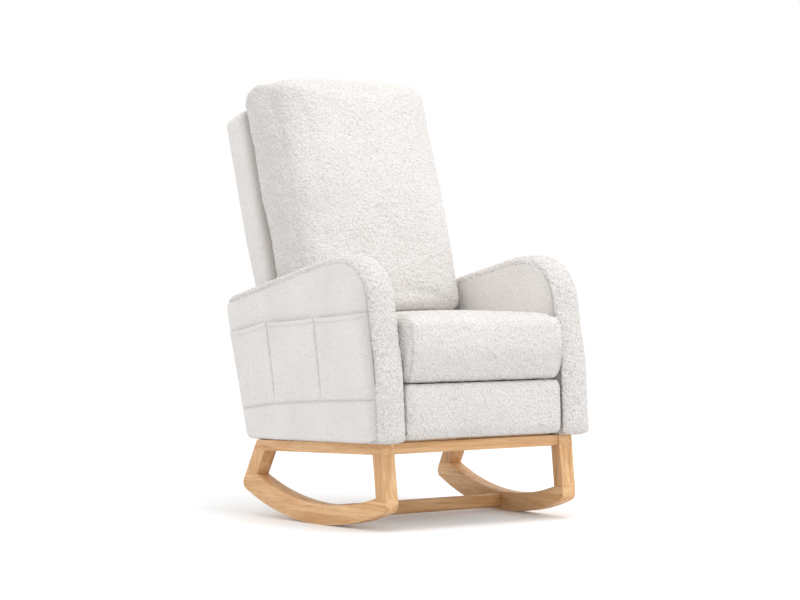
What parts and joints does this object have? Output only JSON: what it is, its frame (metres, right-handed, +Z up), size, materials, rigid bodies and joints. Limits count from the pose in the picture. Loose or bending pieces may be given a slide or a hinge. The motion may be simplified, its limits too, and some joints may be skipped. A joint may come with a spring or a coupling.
{
  "type": "nursing rocking chair",
  "caption": "Upholstered rocking armchair on curved wooden runners, with a reclining cushioned back, a fold-out footrest panel and side pockets on one arm.",
  "frame": {"origin": "on the floor, in the middle plane, under the line where the runners touch the floor", "axes": "+Z up, -Y the way the chair faces, +X to the right of someone facing the chair"},
  "size_m": [0.6479, 0.8087, 1.0851],
  "materials": {
    "oak": "satin clear coat",
    "timber": "raw sawn",
    "boucle": "soft looped pile",
    "steel": "black satin"
  },
  "bodies": {
    "chair": {"left_top_rail": "oak", "right_top_rail": "oak", "left_front_leg": "oak", "right_front_leg": "oak", "left_rear_leg": "oak", "right_rear_leg": "oak", "left_runner": "oak", "right_runner": "oak", "front_rail": "oak", "rear_rail": "oak", "stretcher": "oak", "frame_dowels": "oak", "left_arm_frame": "timber", "right_arm_frame": "timber", "seat_side_rails": "timber", "seat_rear_rail": "timber", "seat_deck": "timber", "left_arm_pad": "boucle", "right_arm_pad": "boucle", "side_pockets": "boucle", "seat_cushion": "boucle", "arm_bolts": "steel", "seat_bolts": "steel", "seat_springs": "steel", "seat_front_angle": "steel", "back_hinge_plates": "steel", "back_hinge_pins": "steel", "slot_plates": "steel", "slot_plate_pins": "steel"},
    "back": {"back_shell": "boucle", "back_stiles": "timber", "back_rungs": "timber", "back_hinge_arms": "steel", "back_cushion": "boucle"},
    "swing": {"swing_links": "steel", "swing_bar": "steel", "swing_link_pins": "steel"},
    "cross": {"cross_links": "steel", "cross_link_pins": "steel"},
    "tie": {"tie_links": "steel"},
    "carry": {"carry_links": "steel", "carry_link_pins": "steel"},
    "footrest": {"footrest_brackets": "steel", "footrest_bar": "steel", "footrest_board": "timber", "footrest_pad": "boucle"}
  },
  "joints": [
    {"name": "recline", "type": "hinge", "parent": "chair", "child": "back", "pos_m": [0, 0.2319, 0.24356], "axis": [-1, 0, 0], "range_deg": [0, 22], "stiffness_Nm_per_rad": 25, "springref_deg": -14.32},
    {"name": "footrest", "type": "hinge", "parent": "chair", "child": "swing", "pos_m": [0, -0.15707, 0.31229], "axis": [-1, 0, 0], "range_deg": [0, 68]},
    {"name": "cross_turn", "type": "hinge", "parent": "swing", "child": "cross", "pos_m": [0, -0.16735, 0.26336], "axis": [1, 0, 0], "range_deg": [0, 136]},
    {"name": "carry_turn", "type": "hinge", "parent": "swing", "child": "carry", "pos_m": [0, -0.17764, 0.21443], "axis": [1, 0, 0], "range_deg": [0, 136]},
    {"name": "tie_turn", "type": "hinge", "parent": "cross", "child": "tie", "pos_m": [0, -0.17442, 0.31286], "axis": [-1, 0, 0], "range_deg": [0, 136]},
    {"name": "panel_turn", "type": "hinge", "parent": "carry", "child": "footrest", "pos_m": [0, -0.19178, 0.31343], "axis": [-1, 0, 0], "range_deg": [0, 136]}
  ],
  "couplings": [
    {"joint": "cross_turn", "follows": "footrest", "ratio": 2},
    {"joint": "carry_turn", "follows": "footrest", "ratio": 2},
    {"joint": "tie_turn", "follows": "footrest", "ratio": 2},
    {"joint": "panel_turn", "follows": "footrest", "ratio": 2}
  ]
}
